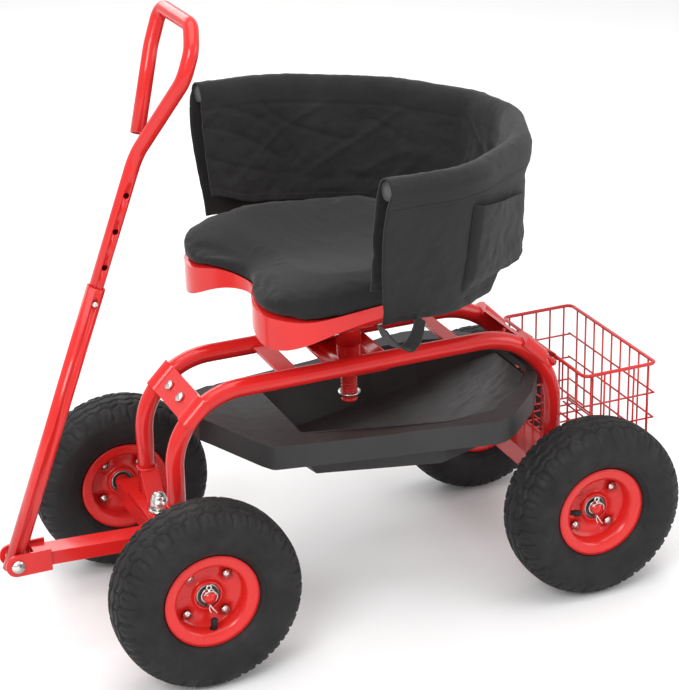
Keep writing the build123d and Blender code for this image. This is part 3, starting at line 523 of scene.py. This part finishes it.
def cloth_point(i, side, d, lift=0.0):
    """A point of the cloth at path index i; side 1 is the outer panel, -1 the inner; d is the depth in mm."""
    s = path_s[i]
    near_end = min(s, TOTAL - s)
    x, y = path[i]
    z = hoop_height(x) - d
    rear = smooth(40.0, 170.0, -x)
    free = smooth(18.0, 150.0, d)
    if side > 0:
        n = 15.9 - (0.155 - 0.115 * rear) * d - 7.0 * rear * smooth(15.0, 46.0, d)
        n += 2.4 * free * fractal(s / 100, d / 100, 1.6, 3.0)
        n += 0.9 * smooth(10, 60, d) * fractal(s / 100, d / 100, 5.0, 9.0)
        n += 2.2 * free * math.sin(s / 47.0 + 0.4) * smooth(0.0, 260.0, near_end)
        n -= 1.3 * math.exp(-((d - 20.0) / 1.6) ** 2)
        n += 0.7 * math.exp(-((outer_drop(i) - 13.0 - d) / 1.4) ** 2) * -1.0
        n += lift
    else:
        n = -15.9 - (0.15 - 0.04 * rear) * d
        n += 3.2 * free * fractal(s / 100, d / 100, 1.3, 21.0)
        n += 1.5 * smooth(8, 40, d) * fractal(s / 100, d / 100, 4.0, 33.0)
        fold = ridge(s / 95.0 + d / 60.0, d / 140.0 - s / 300.0, 5.0)
        n += 2.4 * smooth(4, 30, d) * (1 - smooth(90, 165, d)) * fold ** 3
        fold = ridge(s / 120.0 - d / 85.0, d / 150.0, 11.0)
        n -= 2.0 * smooth(6, 30, d) * fold ** 3
        n += 1.2 * math.exp(-((d - 21.0) / 1.6) ** 2)
        n += 0.6 * math.exp(-((inner_drop(i) - 12.0 - d) / 1.4) ** 2)
        n = min(n, -12.9 - 0.12 * d) if d < 14 else n
    along = 0.0
    if near_end < 40.0:
        # the front edges belly forwards a little and fall back to the hem
        along = -8.0 * math.sin(math.pi * min(1.0, d / 160.0) ** 0.7) * (1 - near_end / 40.0)
        if side < 0:
            along *= 0.4
        along *= 1.0 if s < TOTAL / 2 else -1.0
    px = x + outward[i][0] * n + tangent[i][0] * along
    py = y + outward[i][1] * n + tangent[i][1] * along
    return px, py, z


def saddle_cloth():
    """The cloth from the outer hem, up over the tube and down to the inner hem."""
    columns = []
    radius = 15.9
    for i in range(len(path)):
        s = path_s[i]
        column = []
        for t in np.linspace(1.0, 0.0, 60):
            column.append(cloth_point(i, 1, 6.0 + (outer_drop(i) - 6.0) * t))
        for k in range(1, 12):
            a = math.pi * k / 12
            bump = 1.0 + 0.05 * fractal(s / 100, a, 3.0, 51.0) + 0.03 * fractal(s / 100, a, 9.0, 57.0)
            n = radius * math.cos(a) * bump
            up = radius * math.sin(a) * bump * 0.98 - 6.0 * (1 - math.sin(a))
            x, y = path[i]
            column.append((x + outward[i][0] * n, y + outward[i][1] * n, hoop_height(x) + up))
        for t in np.linspace(0.0, 1.0, 54):
            column.append(cloth_point(i, -1, 6.0 + (inner_drop(i) - 6.0) * t))
        columns.append(column)
    return columns


def measure_map(obj, rows, columns):
    """Stores each point's distance along and across the cloth as a UV map, in metres."""
    co = np.array([v.co for v in obj.data.vertices]).reshape(rows, columns, 3)
    steps = np.linalg.norm(np.diff(co, axis=1), axis=2)
    across = np.concatenate([np.zeros((rows, 1)), np.cumsum(steps, axis=1)], 1)
    middle = columns // 2
    along = np.concatenate([[0], np.cumsum(np.linalg.norm(np.diff(co[:, middle], axis=0), axis=1))])
    layer = obj.data.uv_layers.new(name="cloth")
    for loop in obj.data.loops:
        i, j = divmod(loop.vertex_index, columns)
        layer.data[loop.index].uv = (along[i], across[i, j])
    return along[-1], float(across[:, -1].max())


def cloth_sheet(name, grid, material, thickness, body):
    """A thick cloth sheet from a grid of points in seat coordinates, with its flat size measured into a UV
    map.
    """
    rows, columns = len(grid), len(grid[0])
    flat = [q for column in grid for q in column]
    obj = make_object(name, turn_seat(flat), grid_faces(rows, columns), material)
    along, across = measure_map(obj, rows, columns)
    solid = obj.modifiers.new("cloth thickness", "SOLIDIFY")
    solid.thickness = thickness
    solid.offset = 0.0
    apply_modifiers(obj)
    obj.data.shade_smooth()
    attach(obj, body)
    return obj


bag = cloth_sheet("saddle_bag_cloth", saddle_cloth(), BAG_CLOTH, 0.0016,
                  "seat")
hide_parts("bag_outer", "bag_inner")


def pocket_grid(start, end, flip):
    """A patch pocket that stands off the panel, with a folded gusset at its front edge."""
    columns = []
    count = end - start
    for k in range(count + 1):
        i = start + k
        t = k / count if not flip else 1 - k / count
        column = []
        for v in np.linspace(0.0, 1.0, 36):
            top = 36.0 + 24.0 * t
            d = top + (155.0 - top) * v
            stand = 9.0 * smooth(0.0, 0.05, t) * (1 - 0.82 * smooth(0.35, 1.0, t))
            stand *= 1 - smooth(0.86, 1.0, v) * 0.85
            stand += 0.8 * fractal(t * 2.0, v * 2.0, 2.0, 71.0)
            stand += 1.2 * math.exp(-((d - top - 12.0) / 1.4) ** 2) * -0.5
            column.append(cloth_point(i, 1, d, 1.9 + max(0.0, stand)))
        columns.append(column)
    return columns


def index_at(x, left):
    """The path index nearest to a seat x position on the left or right arm."""
    half = len(path) // 2
    span = range(half) if left else range(half, len(path))
    return min(span, key=lambda i: abs(path[i][0] - x))


for hand, left in (("left", True), ("right", False)):
    a, b = index_at(-33.0, left), index_at(-160.0, left)
    low, high = min(a, b), max(a, b)
    cloth_sheet(f"{hand}_patch_pocket", pocket_grid(low, high, not left), BAG_CLOTH, 0.0014,
                "seat")


def stitches(name, points, normal_lift, length=3.2, gap=1.4, radius=0.35):
    """A row of short raised stitches along a line of points in seat coordinates."""
    line, at = resampled(points, 0.8)
    verts, faces = [], []
    step = length + gap
    s = 0.0
    while s + length < at[-1]:
        ends = []
        for q in (s, s + length / 2, s + length):
            ends.append(np.array([np.interp(q, at, line[:, k]) for k in range(3)]))
        direction = ends[2] - ends[0]
        direction /= np.linalg.norm(direction) + 1e-9
        lift = np.array(normal_lift(ends[1]))
        side = np.cross(direction, lift)
        base = len(verts)
        for q, swell in ((ends[0], 0.35), (ends[1], 1.0), (ends[2], 0.35)):
            for m in range(6):
                angle = math.pi * m / 3
                rise = radius * math.sin(angle) * swell + 0.25 * swell
                verts.append(q + lift * rise + side * radius * math.cos(angle) * swell)
        for ring in range(2):
            for m in range(6):
                n = (m + 1) % 6
                faces.append((base + ring * 6 + m, base + ring * 6 + n,
                              base + ring * 6 + 6 + n, base + ring * 6 + 6 + m))
        faces.append(tuple(base + m for m in range(6))[::-1])
        faces.append(tuple(base + 12 + m for m in range(6)))
        s += step
    obj = make_object(name, turn_seat(verts), faces, THREAD)
    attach(obj, "seat")
    return obj


def away(point):
    """The outward direction at a point of the bag."""
    i = int(np.argmin(np.hypot(path[:, 0] - point[0], path[:, 1] - point[1])))
    return outward[i][0], outward[i][1], 0.0


def towards(point):
    x, y, z = away(point)
    return -x, -y, z


whole = range(2, len(path) - 2)
stitches("outer_sleeve_stitches", [cloth_point(i, 1, 23.5, 1.0) for i in whole], away)
stitches("outer_hem_stitches", [cloth_point(i, 1, outer_drop(i) - 10.0, 1.0) for i in whole], away)
inner_hem = [
    tuple(np.array(cloth_point(i, -1, inner_drop(i) - 9.0)) + 0.9 * np.array(towards(path[i]))) for i in whole
]
stitches("inner_hem_stitches", inner_hem, towards)

# ---------------------------------------------------------------- strap under the near side of the bag
strap_line = smooth_line([(97, 259.5, 496), (92, 262, 484), (80, 264, 470), (66, 265, 463),
                          (54, 264.5, 470), (46, 262, 482), (40, 258.5, 497)], 10)
strap_grid = []
for k, q in enumerate(strap_line):
    t = k / (len(strap_line) - 1)
    twist = math.radians(18 * math.sin(math.pi * t * 2.0))
    half = 12.5
    across_y, across_n = math.cos(twist), math.sin(twist)
    strap_grid.append([
        (q[0], q[1] + half * w * across_y * 0.9, q[2] + half * w * across_n) for w in np.linspace(-1, 1, 13)
    ])
strap = cloth_sheet("bag_strap_webbing", strap_grid, WEBBING, 0.0018,
                    "seat")
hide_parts("bag_strap")

# ---------------------------------------------------------------- cushion
CUSHION_VOXEL = 0.005
PRESSURE = 4.0
CLOTH_FRAMES = 20
SWELL_CAP = 0.006


def cushion():
    """The padded seat top: the plain solid swollen by pressure cloth, pinned below, then creased.

    The cap holds over most of the top and sets its height there. The cloth's own form shows elsewhere.
    """
    source = nodes["seat_cushion"]
    mesh = source.data.copy()
    obj = bpy.data.objects.new("padded_cushion", mesh)
    scene.collection.objects.link(obj)
    obj.data.materials.clear()
    remesh = obj.modifiers.new("even mesh", "REMESH")
    remesh.mode = "VOXEL"
    remesh.voxel_size = CUSHION_VOXEL
    soften = obj.modifiers.new("rounded edges", "SMOOTH")
    soften.factor = 0.6
    soften.iterations = 9
    apply_modifiers(obj)
    count = len(obj.data.vertices)
    rest, normals = np.empty(count * 3), np.empty(count * 3)
    obj.data.vertices.foreach_get("co", rest)
    obj.data.vertices.foreach_get("normal", normals)
    rest, normals = rest.reshape(-1, 3), normals.reshape(-1, 3)
    under = normals[:, 2] < -0.35
    rest = rest - normals * np.where(under, 0.0006, 0.0022)[:, None]
    level = np.linalg.norm(normals[:, :2], axis=1)
    rest[:, :2] += normals[:, :2] * (0.0052 * level ** 2)[:, None]
    obj.data.vertices.foreach_set("co", rest.ravel())
    obj.data.update()
    group = obj.vertex_groups.new(name="seated")
    group.add([int(i) for i in np.nonzero(under)[0]], 1.0, "REPLACE")
    cloth = obj.modifiers.new("swell", "CLOTH")
    values = cloth.settings
    values.quality = 5
    values.mass = 0.3
    values.tension_stiffness = 22.0
    values.compression_stiffness = 22.0
    values.shear_stiffness = 8.0
    values.bending_stiffness = 0.6
    values.vertex_group_mass = "seated"
    values.use_pressure = True
    values.uniform_pressure_force = PRESSURE
    values.effector_weights.gravity = 0.0
    cloth.collision_settings.use_collision = False
    cloth.collision_settings.use_self_collision = False
    cloth.point_cache.frame_start = 1
    cloth.point_cache.frame_end = CLOTH_FRAMES
    for step in range(1, CLOTH_FRAMES + 1):
        scene.frame_set(step)
    apply_modifiers(obj)
    scene.frame_set(1)
    moved = np.array([v.co for v in obj.data.vertices]) - rest
    size = np.linalg.norm(moved, axis=1)
    moved *= (np.minimum(size, SWELL_CAP) / np.maximum(size, 1e-9))[:, None]
    moved[under] *= 0.1
    obj.data.vertices.foreach_set("co", (rest + moved).ravel())
    obj.data.update()
    finer = obj.modifiers.new("finer", "SUBSURF")
    finer.levels = finer.render_levels = 1
    apply_modifiers(obj)
    count = len(obj.data.vertices)
    co, up = np.empty(count * 3), np.empty(count * 3)
    obj.data.vertices.foreach_get("co", co)
    obj.data.vertices.foreach_get("normal", up)
    co, up = co.reshape(-1, 3), up.reshape(-1, 3)
    c, t = math.cos(-SEAT_TURN), math.sin(-SEAT_TURN)
    for k in range(count):
        x, y = (co[k, 0] * c - co[k, 1] * t) * 1000, (co[k, 0] * t + co[k, 1] * c) * 1000
        flat = max(0.0, up[k, 2])
        pull = noise.fractal(Vector((x / 26.0, y / 110.0 + x / 160.0, 4.0)), 0.5, 2.0, 3)
        puff = noise.fractal(Vector((x / 120.0, y / 120.0, 9.0)), 0.5, 2.0, 2)
        co[k] += up[k] * (0.0009 * pull * (1.0 - 0.5 * flat) + 0.0011 * puff * flat)
    obj.data.vertices.foreach_set("co", co.ravel())
    obj.data.update()
    obj.data.materials.append(SEAT_CLOTH)
    obj.data.shade_smooth()
    return obj


pad = cushion()
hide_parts("seat_cushion")
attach(pad, "seat")

# ---------------------------------------------------------------- split-pin rings and weld beads
def pin_clip(name, x, side, body):
    """A sprung wire ring hooked over the axle end, with two splayed legs."""
    y = side * 201.5
    centre = np.array([x, y, WHEEL_Z])
    out = np.array([0.0, side, 0.0])
    ring = []
    for k in range(25):
        a = math.radians(35 + 250 * k / 24)
        around = np.array([math.cos(a) * 10.2, 0.0, math.sin(a) * 10.2])
        ring.append(centre + around + out * (1.2 + 1.8 * math.sin(a)))
    legs = [centre + np.array([1.0, 0, -9.5]) + out * 1.0, centre + np.array([-4.0, 0, -18.0]) + out * 1.5,
            centre + np.array([-9.0, 0, -25.0]) + out * 0.5]
    other = [centre + np.array([0.5, 0, -9.0]) + out * 1.0, centre + np.array([2.0, 0, -16.0]) + out * 2.5,
             centre + np.array([0.0, 0, -21.0]) + out * 3.5]
    for tag, line, radius in (("ring", smooth_line(ring, 3), 0.9), ("leg", smooth_line(legs, 8), 1.1),
                              ("short_leg", smooth_line(other, 8), 0.8)):
        obj = tube(f"{name}_{tag}", line * MM, radius * MM, ZINC, 10)
        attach(obj, body)


for end, x, body in (("front", 290.5, "steering"), ("rear", -290.5, "frame")):
    for hand, side in (("left", 1), ("right", -1)):
        pin_clip(f"{end}_{hand}_pin", x, side, body)


def weld_bead(name, points, body, thick=1.9, closed=False):
    """A rippled bead of weld along a line of points in millimetres."""
    corners = list(points) + [points[0]] if closed else list(points)
    line, at = resampled(corners, 1.15)
    if closed:
        line = line[:-1]
    radii = []
    for k in range(len(line)):
        ripple = 0.80 + 0.24 * (0.5 + 0.5 * math.cos(k * math.pi * 2 / 3))
        wobble = noise.noise(Vector((k * 0.9, line[k][0] * 0.1, line[k][1] * 0.1)))
        radii.append(thick * (ripple + 0.14 * wobble))
    obj = tube(name, line * MM, np.array(radii) * MM, RED, 10, closed=closed)
    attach(obj, body)


def ring_points(centre, radius, count=40):
    return [(centre[0] + radius * math.cos(2 * math.pi * k / count),
             centre[1] + radius * math.sin(2 * math.pi * k / count),
             centre[2]) for k in range(count)]


def box_points(x, y, low, high):
    return [(x, -y, low), (x, y, low), (x, y, high), (x, -y, high)]


for side, hand in ((1, "left"), (-1, "right")):
    weld_bead(f"{hand}_front_leg_weld", ring_points((285.0, side * 65.5, 202.4), 13.1), "frame", closed=True)
    weld_bead(f"{hand}_rear_leg_weld", ring_points((-290.0, side * 65.5, 166.6), 13.1), "frame", closed=True)
    for name, x0, x1 in (("front_bar", 97.0, 123.0), ("rear_bar", -149.0, -129.0)):
        weld_bead(f"{hand}_{name}_weld", [(x0, side * 53.6, 361.0), (x1, side * 53.6, 361.0)], "frame", 1.7)
    weld_bead(f"{hand}_plate_weld", [(-44.0, side * 54.0, 363.0), (44.0, side * 54.0, 363.0)], "frame", 1.7)
weld_bead("collar_weld", ring_points((0.0, 0.0, 407.6), 18.9), "seat", closed=True)
weld_bead("draw_bar_weld", box_points(313.4, 16.2, 118.2, 138.6), "steering", 1.8, closed=True)

# softened edges on the moulded and pressed parts
for name, width, angle in (("tray", 0.0016, 24.0), ("seat_pan", 0.0007, 50.0),
                           ("front_cross_bracket", 0.0009, 40.0), ("rear_cross_bracket", 0.0009, 40.0),
                           ("front_yoke", 0.0009, 40.0), ("draw_bar", 0.0012, 40.0),
                           ("front_axle_beam", 0.0009, 40.0), ("rear_axle_beam", 0.0009, 40.0),
                           ("front_crossbar", 0.0008, 40.0), ("rear_crossbar", 0.0008, 40.0)):
    flat = nodes[name].modifiers.new("flat faces joined", "DECIMATE")
    flat.decimate_type = "DISSOLVE"
    flat.angle_limit = math.radians(1.0)
    bevel = nodes[name].modifiers.new("soft edges", "BEVEL")
    bevel.width = width
    bevel.segments = 2
    bevel.limit_method = "ANGLE"
    bevel.angle_limit = math.radians(angle)
    bevel.use_clamp_overlap = True
    bevel.harden_normals = False
    weighted = nodes[name].modifiers.new("even shading", "WEIGHTED_NORMAL")
    weighted.keep_sharp = True


# ---------------------------------------------------------------- stage, light, camera
def stage():
    mesh = bpy.data.meshes.new("floor")
    size = 14.0
    corners = [(-size, -size, 0), (size, -size, 0), (size, size, 0), (-size, size, 0)]
    mesh.from_pydata(corners, [], [(0, 1, 2, 3)])
    floor = bpy.data.objects.new("floor", mesh)
    scene.collection.objects.link(floor)
    s = Surface("pale_floor", (0.86, 0.86, 0.86), 0.7)
    mesh.materials.append(s.material)


stage()


def area_light(name, place, aim, size, power):
    data = bpy.data.lights.new(name, "AREA")
    data.shape = "RECTANGLE"
    data.size, data.size_y = size
    data.energy = power
    obj = bpy.data.objects.new(name, data)
    scene.collection.objects.link(obj)
    obj.location = place
    obj.rotation_euler = (Vector(aim) - Vector(place)).to_track_quat("-Z", "Y").to_euler()


area_light("key", (2.6, 2.6, 3.0), (0, 0, 0.4), (1.8, 1.8), 95.0)
area_light("fill", (-3.2, 2.2, 2.0), (0, 0, 0.4), (2.4, 2.0), 40.0)
area_light("top", (0.0, 0.2, 3.6), (0, 0, 0.3), (3.0, 3.0), 70.0)
area_light("back", (0.4, -3.2, 2.4), (0, 0, 0.5), (2.6, 1.6), 40.0)
world = bpy.data.worlds.new("studio")
scene.world = world
world.use_nodes = True
world.node_tree.nodes["Background"].inputs["Color"].default_value = (1.0, 1.0, 1.0, 1.0)
world.node_tree.nodes["Background"].inputs["Strength"].default_value = 0.75
scene.view_settings.view_transform = "Standard"

camera_data = bpy.data.cameras.new("camera")
camera = bpy.data.objects.new("camera", camera_data)
scene.collection.objects.link(camera)
camera_data.lens = 107.5
camera_data.sensor_width = 36.0
camera_data.clip_end = 60.0
yaw, pitch, roll = -1.9653, -0.3988, -0.0253
forward = Vector((math.cos(pitch) * math.cos(yaw), math.cos(pitch) * math.sin(yaw), math.sin(pitch)))
right = forward.cross(Vector((0, 0, 1))).normalized()
above = right.cross(forward)
right, above = (
    math.cos(roll) * right + math.sin(roll) * above,
    -math.sin(roll) * right + math.cos(roll) * above,
)
turn = Matrix((right, above, -forward)).transposed().to_4x4()
camera.matrix_world = Matrix.Translation(Vector((1.03466, 2.45360, 1.48160))) @ turn
scene.camera = camera
